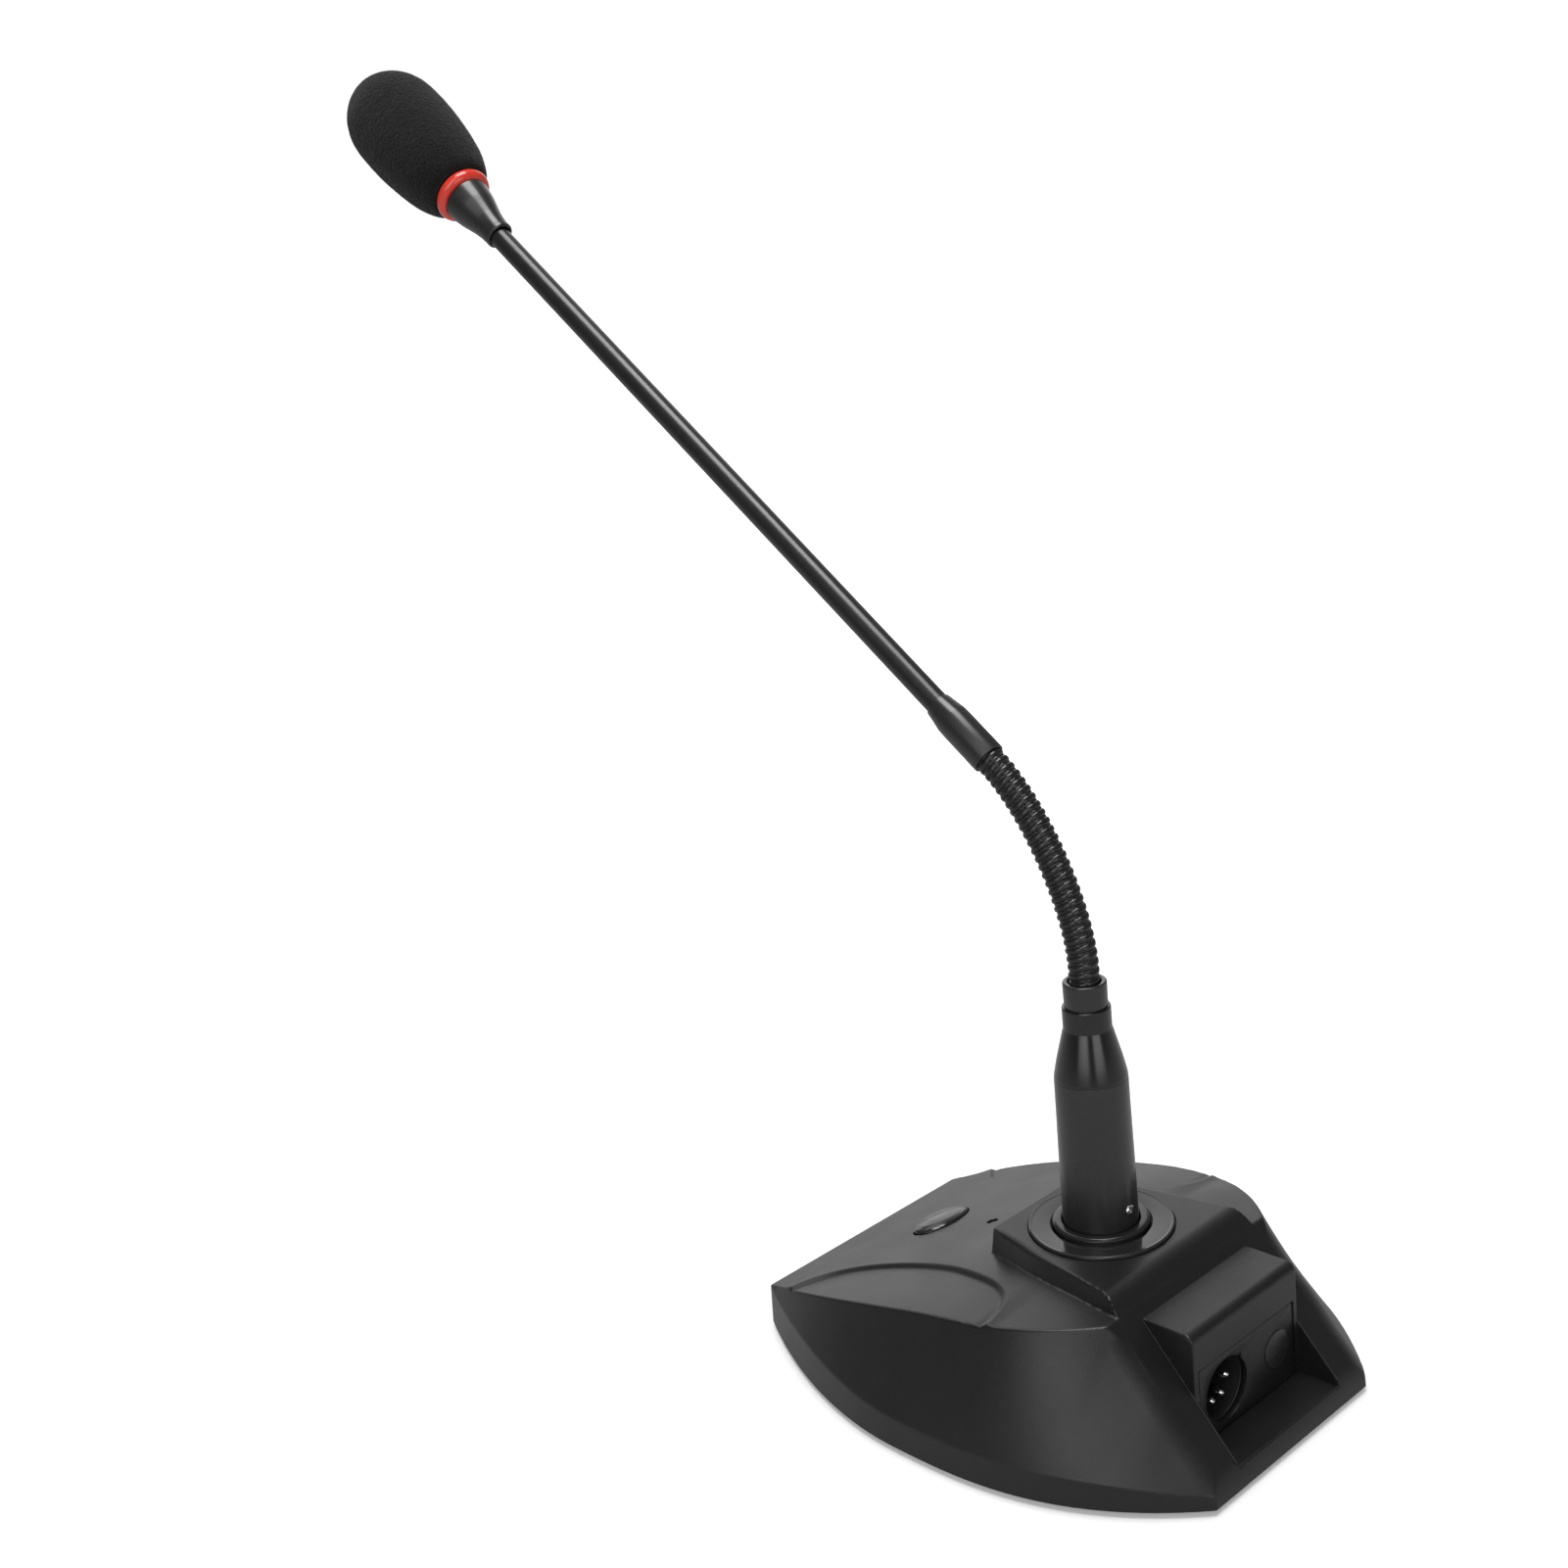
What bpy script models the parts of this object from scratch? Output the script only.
"""Desktop gooseneck microphone: weighted base with a push button and a rear three-pin output, a plug-in
gooseneck with a straight boom, an illuminated ring and a foam windscreen.

Frame: +Z up. The origin lies on the underside of the bottom plate, below the vertical axis of the
microphone socket. The user sits on the -Y side, so +X is right, and the rear output faces +Y.
Lengths are in millimetres and are scaled to metres when a mesh is made."""

import functools
import math

import bmesh
import bpy
from mathutils import Matrix, Vector

MM = 0.001
SHARP_ANGLE = math.radians(35.0)  # edges sharper than this are not shaded smooth

# ---- base outline ----------------------------------------------------------------------------
Y_FRONT, Y_REAR = -87.7, 54.4  # straight front and rear edges
HALF_FRONT, HALF_REAR = 37.1, 31.2  # half lengths of those edges
HALF_WIDE, Y_WIDE = 58.9, -22.0  # widest half width, and where it is
BULGE_FRONT, BULGE_REAR = 1.81, 2.81  # exponents of the two side arcs
LIP_DRAFT = 0.05  # inward lean of the lip band, per mm up
# (y, height of the lip band)
LIP_TOP = ((-87.7, 10.7), (-60.0, 10.4), (-25.0, 7.9), (30.0, 7.2), (54.4, 3.6))

# ---- crowned top -----------------------------------------------------------------------------
Y_RIDGE_FRONT, Y_RIDGE_END = -87.3, 28.0
RIDGE_FRONT, RIDGE_WIDE, RIDGE_END = 36.3, 47.1, 29.5  # ridge half widths: front, widest, end
RIDGE_BULGE_FRONT, RIDGE_BULGE_REAR = 2.57, 3.2  # exponents of the ridge's two arcs
# (y, height on the centre line)
CENTRE_Z = (
    (-87.3, 10.9), (-72.0, 17.2), (-56.0, 23.8), (-37.0, 30.0),
    (-20.0, 34.9), (0.0, 37.3), (14.0, 37.6), (30.0, 37.6),
)
# (y, height of the ridge)
RIDGE_Z = (
    (-87.3, 10.9), (-72.0, 16.9), (-54.0, 22.9), (-35.0, 28.2), (-15.0, 32.7),
    (0.0, 34.8), (10.0, 36.1), (20.0, 36.8), (30.0, 37.2),
)
# (y, half width) of the ridge behind its end, where it lies above the rear slope
RIDGE_BEHIND = ((28.0, 29.5), (34.0, 23.5), (40.0, 18.0), (47.0, 9.0), (54.4, 5.0))
# (share of the ridge half width, height) of the top behind the ridge's end
CROWN_BEHIND = ((1.0, 37.2), (0.8, 37.3), (0.6, 37.4), (0.3, 37.5), (0.0, 37.6))
# recessed leaf panel on each shoulder
LEAF_FRONT, LEAF_REAR = -76.0, 0.4
LEAF_DEPTH = 1.1
LEAF_STEP = 1.6  # width of the step down into the leaf
LEAF_FADE_FRONT, LEAF_FADE_REAR = 8.0, 1.6  # lengths over which it reaches full depth
# (y, x of the leaf's inner edge)
LEAF_LINE = (
    (-76.0, 40.4), (-70.0, 34.2), (-62.0, 29.2), (-48.0, 26.6),
    (-34.0, 25.5), (-20.0, 27.2), (-8.0, 29.6), (0.4, 33.0),
)
# y of the hull's cross-sections between its two end sections
HULL_STATIONS = (
    -80.0, -76.0, -70.0, -62.0, -53.0, -44.0, -35.0, -26.0, -17.0, -9.0, -1.4,
    0.4, 7.0, 13.0, 18.0, 22.0, 25.5, 28.0, 33.0, 38.0, 43.0, 48.0,
)
SLOPE_Y = 22.4  # where the rear slope would meet the pedestal top
SLOPE_FALL = math.radians(48.7)
WALL = 2.6  # thickness of the top
SIDE_INSET = 2.8  # inset of the hollow from the sides

# ---- pedestal, hood and bay ------------------------------------------------------------------
PEDESTAL_Z, PEDESTAL_FRONT = 41.3, -20.0
# (y, half width of the pedestal top)
PEDESTAL_HALF = (
    (-20.0, 17.4), (-12.0, 19.3), (-3.0, 21.3), (8.0, 23.0), (22.0, 25.6), (36.0, 28.0),
)
# (y, widening per mm down)
PEDESTAL_FLARE = (
    (-20.0, 0.12), (-12.0, 0.24), (-3.0, 0.4), (8.0, 0.44), (22.0, 0.3), (36.0, 0.05),
)
PEDESTAL_ROLL = 5.5  # radius of the roll from the pedestal top into the rear slope
BAY_HALF, BAY_FLOOR = 20.8, 4.9
HOOD_Z, HOOD_FACE, HOOD_RADIUS = 34.9, 42.4, 2.5  # top, y of the rear face, rounding of its edge
PANEL_HALF, PANEL_LOW, PANEL_HIGH = 18.9, 5.2, 24.9
OUTPUT_X, OUTPUT_Z, OUTPUT_RADIUS = 8.5, 15.1, 8.1
STICKER_X, STICKER_Z = -12.04, 15.5

# ---- screws and feet: (x, y) on the right, then mirrored to the left --------------------------
SCREWS = [(side * x, y) for side in (1, -1) for x, y in ((33.0, -58.0), (34.0, 16.0))]
FEET = [(side * x, y) for side in (1, -1) for x, y in ((26.0, -75.0), (27.0, 38.0))]
CORNERS = ("front_right", "rear_right", "front_left", "rear_left")
POST_ROOF_GAP_FRONT, POST_ROOF_GAP_REAR = 2.9, 1.7  # from a post's end up to the outer surface

# ---- bottom plate ----------------------------------------------------------------------------
PLATE_INSET, PLATE_THICK = 3.3, 1.5
PLATE_STEPS = 12

# ---- button and light ------------------------------------------------------------------------
TILT = math.radians(17.5)  # slope of the top at the button
OUT_OF_TOP = Vector((0.0, -math.sin(TILT), math.cos(TILT)))
UP_THE_TOP = Vector((0.0, math.cos(TILT), math.sin(TILT)))
BUTTON_CENTRE = Vector((0.0, -56.3, 23.7))
BUTTON_LONG, BUTTON_SHORT, BUTTON_GAP = 8.85, 6.05, 0.45  # half axes, and the gap round them
LED_CENTRE = Vector((0.0, -37.2, 29.9))

# ---- socket and plug -------------------------------------------------------------------------
FLANGE_RADIUS, FLANGE_BORE = 18.2, 12.3
SOCKET_RADIUS, SLOT_RADIUS, INSERT_RADIUS = 11.8, 9.95, 7.9
PLUG_LOW, PLUG_HIGH = 27.5, 81.8
PLUG_RADIUS_LOW, PLUG_RADIUS_HIGH = 9.45, 9.1
SET_SCREW_Z = 48.0
CONE_TOP, CONE_TOP_RADIUS = 94.4, 6.15
COLLAR_LOW, COLLAR_TOP = 100.6, 106.9
COLLAR_RADIUS, COLLAR_BORE = 5.45, 4.1
PIN_RADIUS, PIN_CIRCLE = 1.2, 3.75
PIN_PLACES = [
    (PIN_CIRCLE * math.cos(math.radians(angle)), PIN_CIRCLE * math.sin(math.radians(angle)))
    for angle in (35.0, 145.0, 270.0)
]

# ---- gooseneck -------------------------------------------------------------------------------
NECK_RADIUS, NECK_BORE = 3.55, 1.9
LINK_GAP = 0.3  # between a link's ball end and the cup round it
NECK_ROOT = Vector((0, 0, COLLAR_TOP - 5.5))
NECK_START = Vector((0, 0, 109.6))  # the neck leaves the vertical here
NECK_PULL_START, NECK_PULL_END = 14.64, 18.24  # lengths of the two end tangents
NECK_STEPS = 400
HINGES = 7

# ---- boom and head: heights run along the boom from the ferrule's mouth -----------------------
FERRULE_MOUTH = Vector((0, -24.98, 159.18))
BOOM = Vector((0.0, -0.79154, 0.61112))  # direction
FERRULE_LENGTH, FERRULE_RADIUS = 19.5, 4.35
TUBE_RADIUS, TUBE_BORE, TUBE_START = 3.05, 2.35, 6.2
LINK_IN_FERRULE = 5.4  # how far the last neck link enters the ferrule
HEAD_AT = 215.0  # heights in the head run from here
FOAM_MOUTH, FOAM_TIP = 21.9, 71.6
FOAM_STEPS, FOAM_SHARE = 12, 0.98  # the outside is sampled over this share of its length
# (share of the length from mouth to tip, radius) of the foam's outside
FOAM_OUTSIDE = (
    (0.0, 8.9), (0.05, 10.7), (0.13, 12.1), (0.29, 13.5), (0.45, 14.3), (0.57, 14.5),
    (0.69, 14.4), (0.77, 13.7), (0.84, 12.3), (0.9, 10.2), (0.95, 7.4), (0.98, 5.0),
)


# ---- materials -------------------------------------------------------------------------------
@functools.cache
def material(name, colour, roughness, metallic=0.0):
    """A plain material, made once however often it is asked for."""
    mat = bpy.data.materials.new(name)
    mat.use_nodes = True
    shader = mat.node_tree.nodes["Principled BSDF"]
    shader.inputs["Base Color"].default_value = (*colour, 1.0)
    shader.inputs["Roughness"].default_value = roughness
    shader.inputs["Metallic"].default_value = metallic
    mat.diffuse_color = (*colour, 1.0)
    return mat


def textured_case():
    return material("textured_case", colour=(0.035, 0.035, 0.037), roughness=0.55)


def gloss_plastic():
    return material("gloss_plastic", colour=(0.015, 0.015, 0.016), roughness=0.18)


def black_metal():
    return material("black_metal", colour=(0.022, 0.022, 0.024), roughness=0.34, metallic=0.6)


def zinc_steel():
    return material("zinc_steel", colour=(0.62, 0.62, 0.6), roughness=0.35, metallic=1.0)


def bright_pin():
    return material("bright_pin", colour=(0.85, 0.85, 0.86), roughness=0.1, metallic=1.0)


def contact_brass():
    return material("contact_brass", colour=(0.72, 0.55, 0.25), roughness=0.3, metallic=1.0)


def rubber():
    return material("rubber", colour=(0.02, 0.02, 0.02), roughness=0.8)


def circuit_board():
    return material("circuit_board", colour=(0.02, 0.12, 0.05), roughness=0.5)


def insert_plastic():
    return material("insert_plastic", colour=(0.03, 0.03, 0.032), roughness=0.45)


def red_ring():
    return material("red_ring", colour=(0.62, 0.03, 0.02), roughness=0.25)


def foam():
    return material("foam", colour=(0.012, 0.012, 0.012), roughness=0.98)


# ---- frames and joints -----------------------------------------------------------------------
UP = Matrix.Identity(4)


def frame_at(origin, direction):
    """A frame whose Z axis lies along direction."""
    turn = Vector(direction).normalized().to_track_quat("Z", "Y").to_matrix().to_4x4()
    return Matrix.Translation(Vector(origin)) @ turn


def frame_of_axes(x_axis, y_axis, z_axis, origin=(0, 0, 0)):
    turn = Matrix((x_axis, y_axis, z_axis)).transposed().to_4x4()
    return Matrix.Translation(Vector(origin)) @ turn


def shifted(x, y, z=0.0, frame=UP):
    return frame @ Matrix.Translation((x, y, z))


SIDE_VIEW = frame_of_axes((0, 1, 0), (0, 0, 1), (1, 0, 0))  # draws in (y, z), extrudes along X
OUTPUT_FRAME = frame_of_axes((-1, 0, 0), (0, 0, 1), (0, 1, 0), (OUTPUT_X, 0, OUTPUT_Z))
SET_SCREW_FRAME = frame_of_axes((1, 0, 0), (0, 0, -1), (0, 1, 0), (0, 0, SET_SCREW_Z))
# X runs across the base, so that the long side of the button does too
BUTTON_FRAME = frame_of_axes((1, 0, 0), UP_THE_TOP, OUT_OF_TOP, BUTTON_CENTRE)
BOOM_FRAME = frame_at(FERRULE_MOUTH, BOOM)
HEAD_FRAME = shifted(0, 0, HEAD_AT, BOOM_FRAME)


def own(obj, parent):
    """Parents obj and leaves it where it is."""
    obj.parent = parent
    obj.matrix_parent_inverse = parent.matrix_world.inverted()


def pivot(name, centre, axis=(0, 0, 1)):
    """An empty on a joint's axis."""
    empty = bpy.data.objects.new(name, None)
    empty.empty_display_size = 0.01
    empty.matrix_world = frame_at(Vector(centre) * MM, axis)
    bpy.context.scene.collection.objects.link(empty)
    return empty


def joint(name, centre, axis, parent):
    """A pivot that hangs on another pivot."""
    hub = pivot(name, centre, axis)
    bpy.context.view_layer.update()  # the parent's world matrix has to be current
    own(hub, parent)
    return hub


# ---- solids ----------------------------------------------------------------------------------
def build(name, verts, faces, mat=None, parent=None):
    """An object with this mesh, its faces turned outwards."""
    mesh = bpy.data.meshes.new(name)
    bm = bmesh.new()
    points = [bm.verts.new(Vector(vert) * MM) for vert in verts]
    for face in faces:
        bm.faces.new([points[i] for i in face])
    bmesh.ops.recalc_face_normals(bm, faces=bm.faces)
    if bm.calc_volume(signed=True) < 0:
        bmesh.ops.reverse_faces(bm, faces=bm.faces)
    bm.to_mesh(mesh)
    bm.free()
    obj = bpy.data.objects.new(name, mesh)
    bpy.context.scene.collection.objects.link(obj)
    if mat is not None:
        mesh.materials.append(mat)
    mesh.shade_smooth()
    mesh.set_sharp_from_angle(angle=SHARP_ANGLE)
    if parent is not None:
        own(obj, parent)
    return obj


def lathe(name, profile, segs, mat=None, at=UP, parent=None, squash=1.0):
    """Turns a profile of (radius, height) points about the Z axis of 'at'. A profile that starts and
    ends on the axis makes a solid; any other is a closed loop and makes a ring. squash flattens
    local Y."""
    verts, rings, faces = [], [], []
    for radius, z in profile:
        if radius == 0:
            rings.append([len(verts)])
            verts.append(at @ Vector((0, 0, z)))
            continue
        rings.append(list(range(len(verts), len(verts) + segs)))
        for k in range(segs):
            angle = 2 * math.pi * k / segs
            x, y = radius * math.cos(angle), radius * squash * math.sin(angle)
            verts.append(at @ Vector((x, y, z)))
    pairs = list(zip(rings, rings[1:]))
    if profile[0][0] > 0:
        pairs.append((rings[-1], rings[0]))
    for this, following in pairs:
        for k in range(segs):
            n = (k + 1) % segs
            if len(this) == 1:
                faces.append((this[0], following[k], following[n]))
            elif len(following) == 1:
                faces.append((this[k], this[n], following[0]))
            else:
                faces.append((this[k], this[n], following[n], following[k]))
    return build(name, verts, faces, mat, parent)


def cylinder(name, radius, low, high, segs, mat=None, at=UP, parent=None, squash=1.0):
    profile = [(0, low), (radius, low), (radius, high), (0, high)]
    return lathe(name, profile, segs, mat, at, parent, squash)


def tube(name, bore, radius, low, high, segs, mat, at=UP, parent=None):
    profile = [(bore, low), (radius, low), (radius, high), (bore, high)]
    return lathe(name, profile, segs, mat, at, parent)


def loft_faces(sections, count):
    """Faces that skin this many sections of count points each, and cap the ends."""
    faces = [tuple(range(count)), tuple(range((sections - 1) * count, sections * count))]
    for i in range(sections - 1):
        low, high = i * count, (i + 1) * count
        for k in range(count):
            n = (k + 1) % count
            faces.append((low + k, low + n, high + n, high + k))
    return faces


def loft(name, sections, mat=None, parent=None):
    """Skins closed sections, each a list of the same number of points."""
    verts = [point for section in sections for point in section]
    return build(name, verts, loft_faces(len(sections), len(sections[0])), mat, parent)


def prism(name, outline, low, high, mat=None, at=UP):
    """Extrudes an outline of (x, y) points along the Z axis of 'at'."""
    return loft(name, [[at @ Vector((x, y, z)) for x, y in outline] for z in (low, high)], mat)


def box(name, low, high, mat=None, at=UP):
    outline = [(low[0], low[1]), (high[0], low[1]), (high[0], high[1]), (low[0], high[1])]
    return prism(name, outline, low[2], high[2], mat, at)


def lead(name, path, radius, parent=None):
    """A round rubber lead along a path of points, closed at both ends."""
    path = [Vector(point) for point in path]
    across = Vector((1, 0, 0))
    sides = 8
    sections = []
    for i, point in enumerate(path):
        along = (path[min(i + 1, len(path) - 1)] - path[max(i - 1, 0)]).normalized()
        first = (across - along * across.dot(along)).normalized()
        second = along.cross(first)
        angles = [2 * math.pi * k / sides for k in range(sides)]
        sections.append(
            [point + (first * math.cos(a) + second * math.sin(a)) * radius for a in angles]
        )
    return loft(name, sections, rubber(), parent)


def boolean(obj, other, operation):
    """Joins or cuts obj with another solid, which becomes a hidden helper."""
    other.hide_render = True
    other.display_type = "WIRE"
    modifier = obj.modifiers.new(operation.lower() + "_" + other.name, "BOOLEAN")
    modifier.operation = operation
    modifier.solver = "EXACT"
    modifier.object = other


def cut(obj, other):
    boolean(obj, other, "DIFFERENCE")


def join(obj, other):
    boolean(obj, other, "UNION")


# ---- curves of the base ----------------------------------------------------------------------
def spline(points, x):
    """A smooth curve through (x, value) points, straight beyond its ends."""
    last = len(points) - 1

    def gradient(i, j):
        return (points[j][1] - points[i][1]) / (points[j][0] - points[i][0])

    def tangent(i):
        return gradient(max(i - 1, 0), min(i + 1, last))

    if x <= points[0][0]:
        return points[0][1] + gradient(0, 1) * (x - points[0][0])
    if x >= points[last][0]:
        return points[last][1] + gradient(last - 1, last) * (x - points[last][0])
    i = max(k for k in range(last) if points[k][0] <= x)
    (start, start_value), (end, end_value) = points[i], points[i + 1]
    span = end - start
    t = (x - start) / span
    return (
        (2 * t**3 - 3 * t**2 + 1) * start_value
        + (t**3 - 2 * t**2 + t) * span * tangent(i)
        + (-2 * t**3 + 3 * t**2) * end_value
        + (t**3 - t**2) * span * tangent(i + 1)
    )


def foot_x(y):
    """Half width of the base's lower edge."""
    ahead = max(0.0, (Y_WIDE - y) / (Y_WIDE - Y_FRONT))
    behind = max(0.0, (y - Y_WIDE) / (Y_REAR - Y_WIDE))
    narrowing_front = (HALF_WIDE - HALF_FRONT) * ahead**BULGE_FRONT
    narrowing_rear = (HALF_WIDE - HALF_REAR) * behind**BULGE_REAR
    return HALF_WIDE - narrowing_front - narrowing_rear


def ridge_x(y):
    """Half width of the ridge between the crowned top and the side wall; behind the ridge's end it
    runs on inwards, above the rear slope, so that the wall keeps turning smoothly into the slope."""
    if y > Y_RIDGE_END:
        return spline(RIDGE_BEHIND, y)
    ahead = max(0.0, (Y_WIDE - y) / (Y_WIDE - Y_RIDGE_FRONT))
    behind = max(0.0, (y - Y_WIDE) / (Y_RIDGE_END - Y_WIDE))
    narrowing_front = (RIDGE_WIDE - RIDGE_FRONT) * ahead**RIDGE_BULGE_FRONT
    narrowing_rear = (RIDGE_WIDE - RIDGE_END) * behind**RIDGE_BULGE_REAR
    return RIDGE_WIDE - narrowing_front - narrowing_rear


def top_z(x, y, leaf_depth=0.0):
    """Height of the crowned top. Beside a leaf panel of this depth the crown runs that much above
    the ridge."""
    centre = spline(CENTRE_Z, y)
    ridge = spline(RIDGE_Z, y) + leaf_depth
    return centre - (centre - ridge) * min(1.0, abs(x) / ridge_x(y)) ** 2


# ---- base shell ------------------------------------------------------------------------------
def crown_points(y, inset):
    """(x, z) points of the top at y, from the ridge over the leaf panel to the centre line."""
    ridge = ridge_x(y) - inset
    if y > Y_RIDGE_END:
        return [(share * ridge, z) for share, z in CROWN_BEHIND]
    fade = min(1.0, (y - LEAF_FRONT) / LEAF_FADE_FRONT, (LEAF_REAR - y) / LEAF_FADE_REAR)
    depth = LEAF_DEPTH * max(0.0, fade)
    leaf = spline(LEAF_LINE, min(max(y, LEAF_FRONT), LEAF_REAR))
    leaf = min(leaf, 0.93 * ridge_x(y))
    step = leaf + LEAF_STEP
    # the x limits keep the points in order where the leaf comes close to the ridge
    edge = min(leaf, ridge - 1.2)
    middle = edge * 0.5
    return [
        (ridge, spline(RIDGE_Z, y)),
        (min(step, ridge - 0.6), top_z(min(step, ridge), y, depth) - depth),
        (edge, top_z(min(leaf, ridge), y, depth)),
        (middle, top_z(middle, y, depth)),
        (0.0, top_z(0, y)),
    ]


def hull_section(y, inset, drop, floor):
    """Cross-section at y: from the floor outwards and up over the top, mirrored to a closed loop."""
    lip = spline(LIP_TOP, y)
    foot = foot_x(y)
    half = [
        (foot - inset, floor),
        (foot - LIP_DRAFT * lip - inset, max(floor + 0.5, lip - 0.4 * drop)),
    ]
    half += [(x, z - drop) for x, z in crown_points(y, inset)]
    loop = half + [(-x, z) for x, z in reversed(half[:-1])]
    return [(x, y, z) for x, z in loop]


def hull(name, inset, drop, floor, mat=None):
    stations = [Y_FRONT + inset, *HULL_STATIONS, Y_REAR - inset]
    return loft(name, [hull_section(y, inset, drop, floor) for y in stations], mat)


def pedestal(name, inset, low):
    """The flared pedestal from height low up, drawn in by inset at the front, sides and top."""
    stations = [PEDESTAL_FRONT + inset] + [y for y, _ in PEDESTAL_HALF[1:]]
    high = PEDESTAL_Z - inset
    sections = []
    for y in stations:
        top = spline(PEDESTAL_HALF, y) - inset
        foot = top + spline(PEDESTAL_FLARE, y) * (PEDESTAL_Z - low)
        sections.append([(foot, y, low), (top, y, high), (-top, y, high), (-foot, y, low)])
    return loft(name, sections)


def slope_cutter(name, depth):
    """Everything above the rolled pedestal edge and the rear slope, with the surface moved down
    along its normal by depth."""
    roll_y = SLOPE_Y - PEDESTAL_ROLL * math.tan(SLOPE_FALL / 2)
    roll_z = PEDESTAL_Z - PEDESTAL_ROLL
    radius = PEDESTAL_ROLL - depth
    # the cutter starts just ahead of the roll and just above the pedestal top
    start_y = roll_y - 0.6
    start_z = PEDESTAL_Z + 0.12 - depth
    top, far_y = 60.0, 75.0
    outline = [(start_y, top), (start_y, start_z)]
    for k in range(5):
        angle = SLOPE_FALL * (k + 0.35) / 4.35
        outline.append((roll_y + radius * math.sin(angle), roll_z + radius * math.cos(angle)))
    far_z = PEDESTAL_Z - (far_y - SLOPE_Y) * math.tan(SLOPE_FALL)
    outline.append(
        (far_y - math.sin(SLOPE_FALL) * depth, far_z - math.cos(SLOPE_FALL) * depth)
    )
    outline.append((far_y, top))
    return prism(name, outline, -80.0, 80.0, at=SIDE_VIEW)


def hood_block():
    """The hood over the rear bay, with its upper rear edge rounded."""
    front, floor, half = 24.0, 3.2, BAY_HALF + 0.1
    outline = [(front, floor), (HOOD_FACE, floor)]
    for k in range(4):
        angle = math.pi / 2 * k / 3
        y = HOOD_FACE - HOOD_RADIUS + HOOD_RADIUS * math.cos(angle)
        z = HOOD_Z - HOOD_RADIUS + HOOD_RADIUS * math.sin(angle)
        outline.append((y, z))
    outline.append((front, HOOD_Z))
    return prism("hood_block", outline, -half, half, at=SIDE_VIEW)


def shell_hollow():
    """The inside of the shell, kept clear of the bay."""
    hollow = hull("hollow", inset=SIDE_INSET, drop=WALL, floor=-2.0)
    join(hollow, pedestal("pedestal_hollow", inset=WALL, low=25.0))
    cut(hollow, slope_cutter("slope_hollow", WALL))
    keep, hood = BAY_HALF + 2.4, BAY_HALF - 2.3
    cut(hollow, box("bay_keep", (-keep, 36.0, 2.6), (keep, 70.0, 70.0)))
    join(hollow, box("hood_hollow", (-hood, 22.0, -2.0), (hood, 39.0, HOOD_Z - WALL)))
    return hollow


def add_screw_posts(shell):
    """Four screw posts, run up into the roof, each with a pilot hole."""
    for k, (x, y) in enumerate(SCREWS):
        at = shifted(x, y)
        roof = top_z(x, y) - (POST_ROOF_GAP_FRONT if y < 0 else POST_ROOF_GAP_REAR)
        join(shell, cylinder(f"post_{k}", 3.4, 1.8, roof, 10, at=at))
        cut(shell, cylinder(f"pilot_{k}", 1.4, 1.0, 9.5, 8, at=at))


def cut_top_openings(shell):
    """Socket seat and hole, button hole and light hole."""
    cut(shell, cylinder("seat_cutter", FLANGE_RADIUS + 0.3, 40.3, 44, 32))
    cut(shell, cylinder("socket_hole", SOCKET_RADIUS + 0.35, 30, 45, 24))
    half_long, half_short = BUTTON_LONG + BUTTON_GAP, BUTTON_SHORT + BUTTON_GAP
    at = frame_at(BUTTON_CENTRE, OUT_OF_TOP)
    hole = cylinder("button_hole", half_long, -6, 6, 24, at=at, squash=half_short / half_long)
    cut(shell, hole)
    cut(shell, cylinder("light_hole", 1.6, -6, 6, 12, at=frame_at(LED_CENTRE, OUT_OF_TOP)))


def cut_panel_openings(shell):
    """Seat and window of the rear panel."""
    half = PANEL_HALF + 0.3
    seat = box("panel_seat", (-half, 40.3, BAY_FLOOR + 0.02), (half, 45.0, PANEL_HIGH + 0.3))
    cut(shell, seat)
    cut(shell, box("panel_window", (-17.8, 37.0, 5.9), (17.8, 41.0, 24.3)))


def base_shell():
    shell = hull("base_shell", inset=0.0, drop=0.0, floor=0.0, mat=textured_case())
    join(shell, pedestal("pedestal_block", inset=0.0, low=28.0))
    cut(shell, slope_cutter("slope_cutter", 0.0))
    cut(shell, box("bay_cutter", (-BAY_HALF, 41.0, BAY_FLOOR), (BAY_HALF, 70.0, 70.0)))
    join(shell, hood_block())
    cut(shell, shell_hollow())
    add_screw_posts(shell)
    cut_top_openings(shell)
    cut_panel_openings(shell)


# ---- underside -------------------------------------------------------------------------------
def plate_outline():
    """The base outline drawn in, with its points closer together towards front and rear."""
    front, rear = Y_FRONT + PLATE_INSET, Y_REAR - PLATE_INSET
    right = []
    for k in range(PLATE_STEPS + 1):
        y = front + (rear - front) * (1 - math.cos(math.pi * k / PLATE_STEPS)) / 2
        right.append((foot_x(y) - PLATE_INSET, y))
    return right + [(-x, y) for x, y in reversed(right)]


def bottom_plate():
    plate = prism("bottom_plate", plate_outline(), 0.0, PLATE_THICK, zinc_steel())
    # a round groove in the underside
    groove = [(18.0, -0.5), (20.4, -0.5), (19.9, 0.55), (18.5, 0.55)]
    cut(plate, lathe("bead_groove", groove, 24))
    sink = [(0, -1.0), (4.3, -1.0), (3.3, 0.0), (1.8, PLATE_THICK), (1.8, 3.0), (0, 3.0)]
    for k, (x, y) in enumerate(SCREWS):
        cut(plate, lathe(f"countersink_{k}", sink, 10, at=shifted(x, y)))


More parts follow.
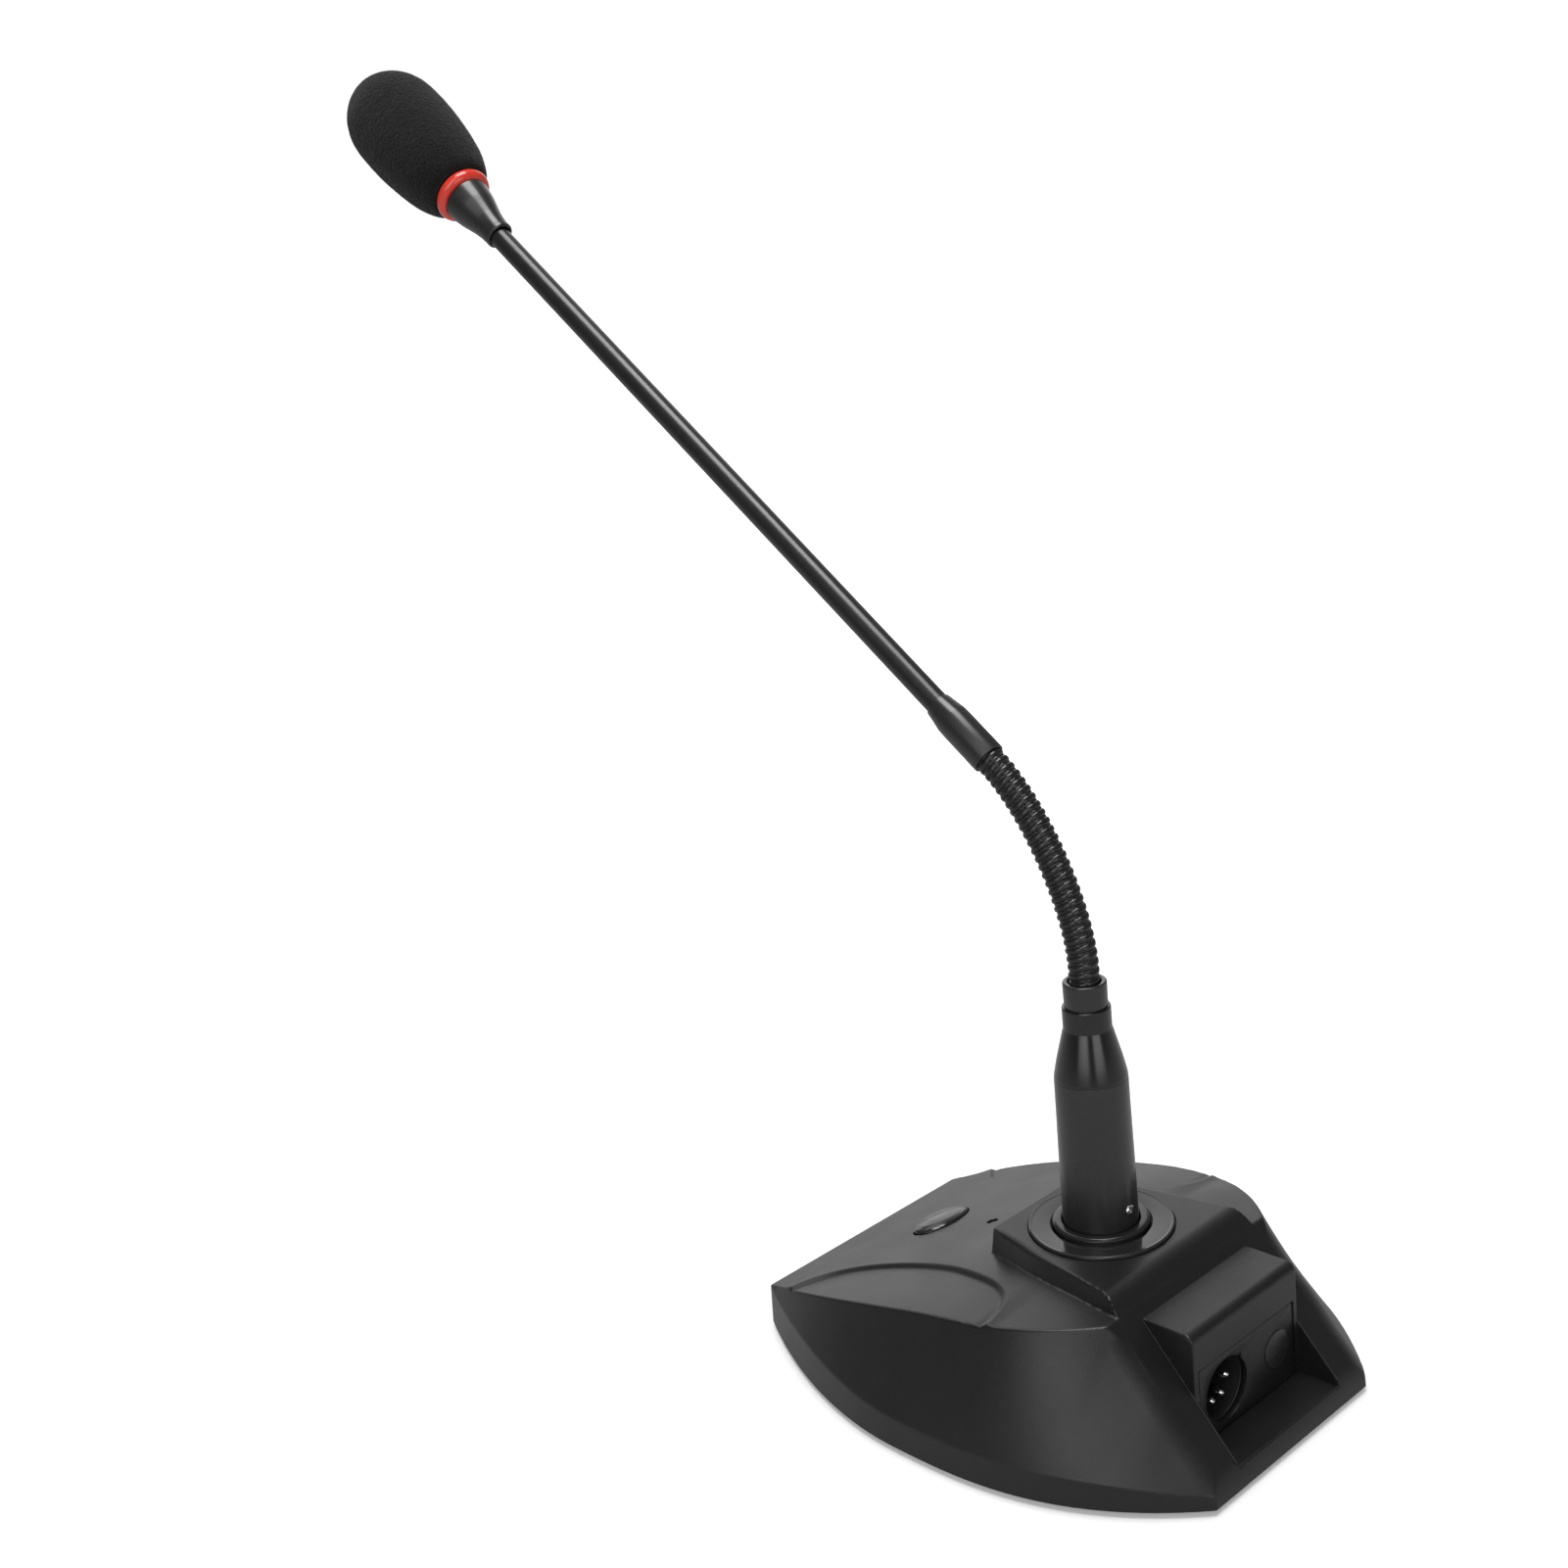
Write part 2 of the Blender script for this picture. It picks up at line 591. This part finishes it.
def screws_and_feet():
    screw = [
        (0, 0.1), (2.8, 0.1), (2.7, 0.35), (1.25, 1.7), (1.2, 8.6), (0.4, 9.2), (0, 9.2),
    ]
    foot = [(0, -1.5), (5.2, -1.5), (6.0, -0.9), (6.0, -0.05), (0, -0.05)]
    for corner, screw_place, foot_place in zip(CORNERS, SCREWS, FEET):
        lathe("base_screw_" + corner, screw, 8, zinc_steel(), shifted(*screw_place))
        lathe("rubber_foot_" + corner, foot, 16, rubber(), shifted(*foot_place))


def ballast_plate():
    box("ballast_plate", (-27.0, -51.0, 1.8), (27.0, 18.0, 9.8), zinc_steel())


# ---- socket ----------------------------------------------------------------------------------
def socket_surround():
    """Flange on the pedestal, body with its ring slot, nut below the roof, and rubber collar."""
    flange = [
        (FLANGE_BORE, 40.6), (FLANGE_RADIUS, 40.6), (FLANGE_RADIUS, 41.5),
        (FLANGE_RADIUS - 0.5, 42.0), (FLANGE_BORE + 0.3, 42.0), (FLANGE_BORE, 41.7),
    ]
    lathe("socket_flange", flange, 32, gloss_plastic())
    body = [
        (SLOT_RADIUS, 24.0), (SLOT_RADIUS, 41.9), (SOCKET_RADIUS, 41.9),
        (SOCKET_RADIUS, 22.0), (6.4, 22.0), (6.4, 24.0),
    ]
    lathe("socket_body", body, 20, insert_plastic())
    tube("socket_nut", 12.3, 16.0, 34.2, 37.9, 18, zinc_steel())
    collar = [
        (9.75, 42.2), (9.75, 43.1), (10.15, 43.45), (10.7, 43.45),
        (11.4, 43.2), (11.95, 42.75), (12.1, 42.2),
    ]
    lathe("socket_collar", collar, 24, rubber())


def socket_contacts():
    """The insert and its three hollow contacts."""
    core = [(0, 24.3), (INSERT_RADIUS, 24.3), (INSERT_RADIUS, 39.6), (7.4, 40.0), (0, 40.0)]
    insert = lathe("socket_insert", core, 20, insert_plastic())
    contact = [(1.5, 27.5), (1.5, 39.2), (1.85, 39.2), (1.85, 18.0), (0.6, 18.0), (0.6, 27.5)]
    for k, (x, y) in enumerate(PIN_PLACES):
        at = shifted(x, y)
        cut(insert, cylinder(f"contact_hole_{k}", 2.1, 20, 45, 10, at=at))
        lathe(f"socket_contact_{k + 1}", contact, 8, contact_brass(), at)


# ---- rear output: heights of turned parts run towards +Y ---------------------------------------
def connector_panel():
    low, high = (-PANEL_HALF, 40.6, PANEL_LOW), (PANEL_HALF, 42.1, PANEL_HIGH)
    panel = box("connector_panel", low, high, textured_case())
    cut(panel, cylinder("output_hole", OUTPUT_RADIUS, 38, 45, 24, at=OUTPUT_FRAME))
    # the output frame's X axis points to -X
    at = shifted(OUTPUT_X - STICKER_X, STICKER_Z - OUTPUT_Z, frame=OUTPUT_FRAME)
    cylinder("panel_sticker", 4.9, 42.15, 42.27, 20, insert_plastic(), at)


def output_connector():
    housing = (OUTPUT_RADIUS, 8.85, 24.3, 40.3)
    tube("output_housing", *housing, 24, insert_plastic(), OUTPUT_FRAME)
    disc = cylinder("output_insert", 7.8, 26.0, 31.0, 20, insert_plastic(), OUTPUT_FRAME)
    # (distance towards -X, distance up, height of the tip); the connector is turned in its panel
    pins = ((2.73, 1.68, 40.6), (2.0, -3.4, 39.6), (-3.12, -2.72, 40.6))
    for k, (across, up, tip) in enumerate(pins):
        at = shifted(across, up, frame=OUTPUT_FRAME)
        cut(disc, cylinder(f"output_pin_hole_{k}", 1.5, 20, 45, 8, at=at))
        pin = [(0, 23.0), (PIN_RADIUS, 23.0), (PIN_RADIUS, tip - 0.7), (0.7, tip), (0, tip)]
        lathe(f"output_pin_{k + 1}", pin, 8, bright_pin(), at)


# ---- button, switch and light: heights run out of the top -------------------------------------
def push_button():
    """The domed button with its retaining flange, and the plunger below it, on one axis."""
    hub = pivot("push_button_axis", BUTTON_CENTRE, OUT_OF_TOP)
    flange = BUTTON_LONG + 1.3
    dome = [
        (0, -4.6), (flange, -4.6), (flange, -3.6), (BUTTON_LONG, -3.6), (BUTTON_LONG, 0.35),
        (BUTTON_LONG * 0.94, 0.85), (BUTTON_LONG * 0.72, 1.4), (BUTTON_LONG * 0.38, 1.75),
        (0, 1.85),
    ]
    squash = BUTTON_SHORT / BUTTON_LONG
    lathe("push_button", dome, 24, gloss_plastic(), BUTTON_FRAME, hub, squash)
    cylinder("switch_plunger", 1.6, -9.0, -4.9, 10, insert_plastic(), BUTTON_FRAME, hub)


def switch_and_board():
    low, high = (-3.5, -3.5, -11.4), (3.5, 3.5, -8.0)
    body = box("switch_body", low, high, insert_plastic(), BUTTON_FRAME)
    cut(body, cylinder("plunger_hole", 1.95, -10.8, -6, 10, at=BUTTON_FRAME))
    low, high = (-14.0, -11.0, -13.3), (14.0, 28.0, -11.7)
    box("control_board", low, high, circuit_board(), BUTTON_FRAME)


def status_led():
    distance = (LED_CENTRE - BUTTON_CENTRE).dot(UP_THE_TOP)
    profile = [
        (0, -11.4), (1.9, -11.4), (1.9, -10.4), (1.25, -10.4), (1.25, -0.9), (0.9, -0.55),
        (0, -0.45),
    ]
    lathe("status_led", profile, 10, red_ring(), shifted(0, distance, frame=BUTTON_FRAME))


def internal_lead():
    path = [
        (-6.0, -33.0, 13.2), (-6.0, -22.0, 12.6), (-4.0, -4.0, 12.4),
        (3.0, 10.0, 12.6), (8.5, 18.0, 14.0), (8.5, 22.0, 15.1),
    ]
    lead("internal_lead", path, 1.5)


# ---- plug ------------------------------------------------------------------------------------
def plug_shell(hub):
    """The slightly tapered sleeve and the set screw in its rear."""
    profile = [
        (8.35, PLUG_LOW), (8.35, PLUG_HIGH), (PLUG_RADIUS_HIGH, PLUG_HIGH),
        (PLUG_RADIUS_LOW, 44.0), (PLUG_RADIUS_LOW, PLUG_LOW + 0.5),
        (PLUG_RADIUS_LOW - 0.4, PLUG_LOW),
    ]
    shell = lathe("plug_shell", profile, 24, black_metal(), parent=hub)
    cut(shell, cylinder("set_screw_hole", 1.5, 6, 12, 10, at=SET_SCREW_FRAME))
    screw = [(0, 8.2), (1.25, 8.2), (1.25, 9.3), (0.9, 9.5), (0, 9.5)]
    lathe("plug_set_screw", screw, 10, bright_pin(), SET_SCREW_FRAME, hub)


def plug_pins(hub):
    insert = cylinder("plug_insert", 8.05, 42.0, 52.0, 20, insert_plastic(), parent=hub)
    pin = [(0, 30.0), (0.7, 30.0), (PIN_RADIUS, 30.8), (PIN_RADIUS, 55.0), (0, 55.0)]
    for k, (x, y) in enumerate(PIN_PLACES):
        at = shifted(x, y)
        cut(insert, cylinder(f"plug_pin_hole_{k}", 1.5, 40, 54, 8, at=at))
        lathe(f"plug_pin_{k + 1}", pin, 8, bright_pin(), at, hub)


def plug_top(hub):
    """The cone above the sleeve, the collar the neck comes out of, and the lead inside."""
    bushing = [
        (4.6, 82.0), (4.6, 100.4), (5.75, 100.4), (5.95, 100.1), (CONE_TOP_RADIUS, CONE_TOP),
        (9.05, 82.3), (8.95, 82.0),
    ]
    lathe("plug_bushing", bushing, 24, black_metal(), parent=hub)
    collar = [
        (COLLAR_BORE, COLLAR_LOW), (COLLAR_BORE, COLLAR_TOP - 0.3),
        (COLLAR_BORE + 0.3, COLLAR_TOP), (COLLAR_RADIUS - 0.35, COLLAR_TOP),
        (COLLAR_RADIUS, COLLAR_TOP - 0.35), (COLLAR_RADIUS, COLLAR_LOW),
    ]
    lathe("neck_collar", collar, 20, black_metal(), parent=hub)
    path = [(0.0, 0.0, 56.0), (0.6, 0.4, 66.0), (-0.4, 0.2, 78.0), (0.0, 0.0, 96.0)]
    lead("plug_lead", path, 1.5, hub)


def plug():
    hub = pivot("plug_axis", (0, 0, PLUG_LOW))
    plug_shell(hub)
    plug_pins(hub)
    plug_top(hub)
    return hub


# ---- flexible neck ---------------------------------------------------------------------------
def neck_curve(t):
    """Cubic curve from the vertical at the collar to the boom's direction at the ferrule."""
    start_pull = NECK_START + Vector((0, 0, NECK_PULL_START))
    end_pull = FERRULE_MOUTH - BOOM * NECK_PULL_END
    s = 1 - t
    return (
        NECK_START * s**3 + start_pull * 3 * s * s * t + end_pull * 3 * s * t * t
        + FERRULE_MOUTH * t**3
    )


def neck_hinges():
    """Hinge centres, evenly spaced along the neck from the collar's mouth."""
    path = [Vector((0, 0, COLLAR_TOP))]
    path += [neck_curve(k / NECK_STEPS) for k in range(NECK_STEPS + 1)]
    run = [0.0]
    for before, after in zip(path, path[1:]):
        run.append(run[-1] + (after - before).length)
    hinges = []
    for k in range(HINGES):
        distance = run[-1] * (k + 0.5) / HINGES
        i = next(i for i, reached in enumerate(run[1:]) if reached >= distance)
        hinges.append(path[i].lerp(path[i + 1], (distance - run[i]) / (run[i + 1] - run[i])))
    return hinges


def neck_link(name, start, end, cup, ball, parent):
    """One stiff length of the neck. Its ball end sits in the cup of the next link, so the neck can
    bend at each hinge centre with an even gap. An end without cup or ball is flat."""
    length = (end - start).length
    if cup:
        radius = NECK_RADIUS + LINK_GAP
        first, last = math.asin(NECK_BORE / radius), math.asin(NECK_RADIUS / radius)
        angles = [first + (last - first) * k / 3 for k in range(4)]
        profile = [(radius * math.sin(a), radius * math.cos(a)) for a in angles]
    else:
        profile = [(NECK_BORE, 0.0), (NECK_RADIUS, 0.0)]
    if ball:
        first, last = math.pi / 2, math.asin(NECK_BORE / NECK_RADIUS)
        angles = [first + (last - first) * k / 4 for k in range(5)]
        profile += [(NECK_RADIUS * math.sin(a), length + NECK_RADIUS * math.cos(a)) for a in angles]
    else:
        profile += [(NECK_RADIUS, length), (NECK_BORE, length)]
    lathe(name, profile, 12, black_metal(), frame_at(start, end - start), parent)


def neck(plug_hub):
    """The chain of hinged links; returns the last hinge, which carries the boom."""
    points = [NECK_ROOT, *neck_hinges(), FERRULE_MOUTH]
    neck_link("neck_link_0", points[0], points[1], False, True, plug_hub)
    hub = plug_hub
    for k in range(1, HINGES + 1):
        hub = joint(f"neck_hinge_{k}", points[k], points[k + 1] - points[k - 1], hub)
        is_last = k == HINGES
        end = FERRULE_MOUTH + BOOM * LINK_IN_FERRULE if is_last else points[k + 1]
        neck_link(f"neck_link_{k}", points[k], end, True, not is_last, hub)
    return hub


# ---- boom and head ---------------------------------------------------------------------------
def boom(arm):
    tube_seat = TUBE_RADIUS + 0.15
    ferrule = [
        (3.9, 0.0), (3.9, 5.8), (tube_seat, 5.8), (tube_seat, FERRULE_LENGTH),
        (3.4, FERRULE_LENGTH), (3.85, 17.6), (FERRULE_RADIUS, 13.8), (FERRULE_RADIUS, 0.4),
        (FERRULE_RADIUS - 0.3, 0.0),
    ]
    lathe("neck_ferrule", ferrule, 20, black_metal(), BOOM_FRAME, arm)
    ends = (TUBE_START, HEAD_AT + 6)
    tube("boom_tube", TUBE_BORE, TUBE_RADIUS, *ends, 16, black_metal(), BOOM_FRAME, arm)
    path = [BOOM_FRAME @ Vector((0, 0, z)) for z in (6.5, 80.0, 150.0, HEAD_AT + 17)]
    lead("mic_lead", path, 1.4, arm)


def capsule_housing(arm):
    profile = [
        (3.25, 6.6), (3.25, 0.0), (4.05, 0.0), (4.2, 4.0), (4.95, 8.0), (5.5, 10.5),
        (6.35, 14.0), (6.85, 17.6), (5.3, 17.6), (5.3, 22.7), (4.6, 22.7), (4.6, 12.0),
    ]
    lathe("capsule_housing", profile, 20, black_metal(), HEAD_FRAME, arm)


def light_ring(arm):
    """The bulging ring and its board."""
    profile = [(5.6, 17.9)]
    for degrees in (-60, -30, 0, 30, 60):
        angle = math.radians(degrees)
        profile.append((6.7 + 1.6 * math.cos(angle), 19.75 + 1.95 * math.sin(angle)))
    profile.append((5.6, 21.6))
    lathe("light_ring", profile, 24, red_ring(), HEAD_FRAME, arm)
    tube("light_ring_board", 1.8, 5.2, 23.4, 24.5, 14, circuit_board(), HEAD_FRAME, arm)


def capsule(arm):
    """The grille round the capsule, the rubber sleeve and the capsule itself."""
    grille = [
        (5.6, 22.1), (5.6, 48.2), (2.0, 49.4), (2.0, 50.2), (5.2, 49.6), (6.8, 47.2),
        (6.8, 22.1),
    ]
    lathe("capsule_grille", grille, 20, black_metal(), HEAD_FRAME, arm)
    tube("capsule_sleeve", 4.6, 5.3, 37.2, 45.2, 14, rubber(), HEAD_FRAME, arm)
    can = [(0, 37.6), (4.3, 37.6), (4.3, 44.6), (3.9, 45.0), (0, 45.0)]
    lathe("mic_capsule", can, 14, zinc_steel(), HEAD_FRAME, arm)


def windscreen(arm):
    """Foam with an open bore over the grille and a long rounded outside."""
    profile = [(0, 51.7), (5.6, 51.2), (7.1, 48.7), (7.1, FOAM_MOUTH)]
    for k in range(FOAM_STEPS + 1):
        share = FOAM_SHARE * k / FOAM_STEPS
        z = FOAM_MOUTH + (FOAM_TIP - FOAM_MOUTH) * share
        profile.append((spline(FOAM_OUTSIDE, share), z))
    profile.append((0, FOAM_TIP))
    mouth = HEAD_FRAME @ Vector((0, 0, FOAM_MOUTH))
    hub = joint("windscreen_axis", mouth, BOOM, arm)
    lathe("windscreen", profile, 20, foam(), HEAD_FRAME, hub)


def main():
    for obj in list(bpy.data.objects):
        bpy.data.objects.remove(obj, do_unlink=True)
    base_shell()
    bottom_plate()
    screws_and_feet()
    ballast_plate()
    socket_surround()
    socket_contacts()
    connector_panel()
    output_connector()
    push_button()
    switch_and_board()
    status_led()
    internal_lead()
    plug_hub = plug()
    bpy.context.view_layer.update()
    arm = neck(plug_hub)
    bpy.context.view_layer.update()
    boom(arm)
    capsule_housing(arm)
    light_ring(arm)
    capsule(arm)
    windscreen(arm)
    bpy.context.view_layer.update()


main()
